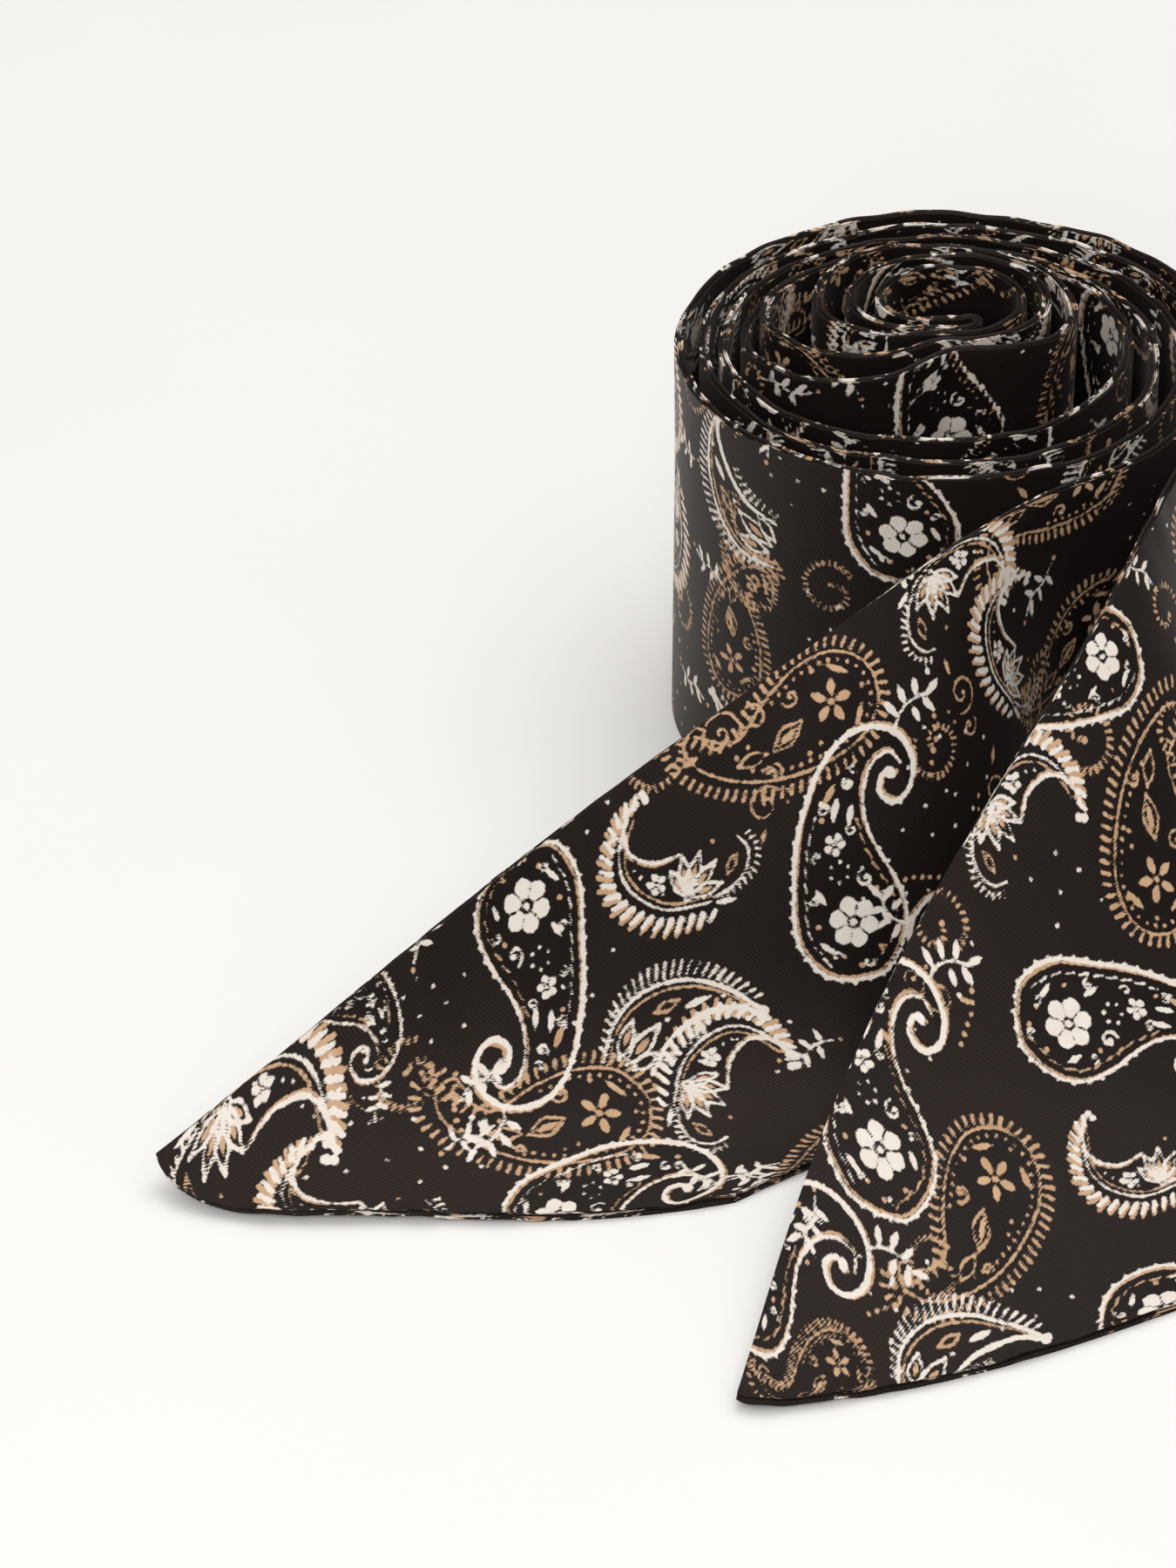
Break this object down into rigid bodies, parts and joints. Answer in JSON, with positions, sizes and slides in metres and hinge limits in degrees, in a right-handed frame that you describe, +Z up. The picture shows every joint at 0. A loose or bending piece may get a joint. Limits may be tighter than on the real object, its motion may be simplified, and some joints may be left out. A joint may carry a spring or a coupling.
{
  "type": "necktie",
  "caption": "Slim double-layer printed satin necktie, folded in half and rolled, standing on its edge with both diagonally cut ends running out",
  "frame": {"origin": "middle of the object's box, on the surface that it stands on", "axes": "+Z up, along the axis of the roll; both ends run out of the roll towards -Y"},
  "size_m": [0.1726, 0.2104, 0.065],
  "materials": {
    "printed_satin": "soft satin twill, warm black ground with a cream and tan paisley print",
    "interlining": "matt light fusible interlining",
    "seam_thread": "matt black polyester sewing thread"
  },
  "bodies": {
    "roll": {"roll_front_panel": "printed_satin", "roll_back_panel": "printed_satin", "roll_interlining": "interlining", "roll_bottom_seam": "seam_thread", "roll_top_seam": "seam_thread"},
    "left_end": {"left_front_panel": "printed_satin", "left_back_panel": "printed_satin", "left_interlining": "interlining", "left_bottom_seam": "seam_thread", "left_top_seam": "seam_thread", "left_cut_seam": "seam_thread"},
    "right_end": {"right_front_panel": "printed_satin", "right_back_panel": "printed_satin", "right_interlining": "interlining", "right_bottom_seam": "seam_thread", "right_top_seam": "seam_thread", "right_cut_seam": "seam_thread"}
  },
  "joints": [
    {"name": "right_end_swing", "type": "hinge", "parent": "roll", "child": "right_end", "pos_m": [0.0675, 0.04316, 0], "axis": [0, 0, 1], "range_deg": [0, 60]},
    {"name": "left_end_swing", "type": "hinge", "parent": "roll", "child": "left_end", "pos_m": [0.04874, 0.02686, 0], "axis": [0, 0, 1], "range_deg": [0, 30]}
  ],
  "couplings": [
    {"joint": "left_end_swing", "follows": "right_end_swing", "ratio": 0.5}
  ]
}
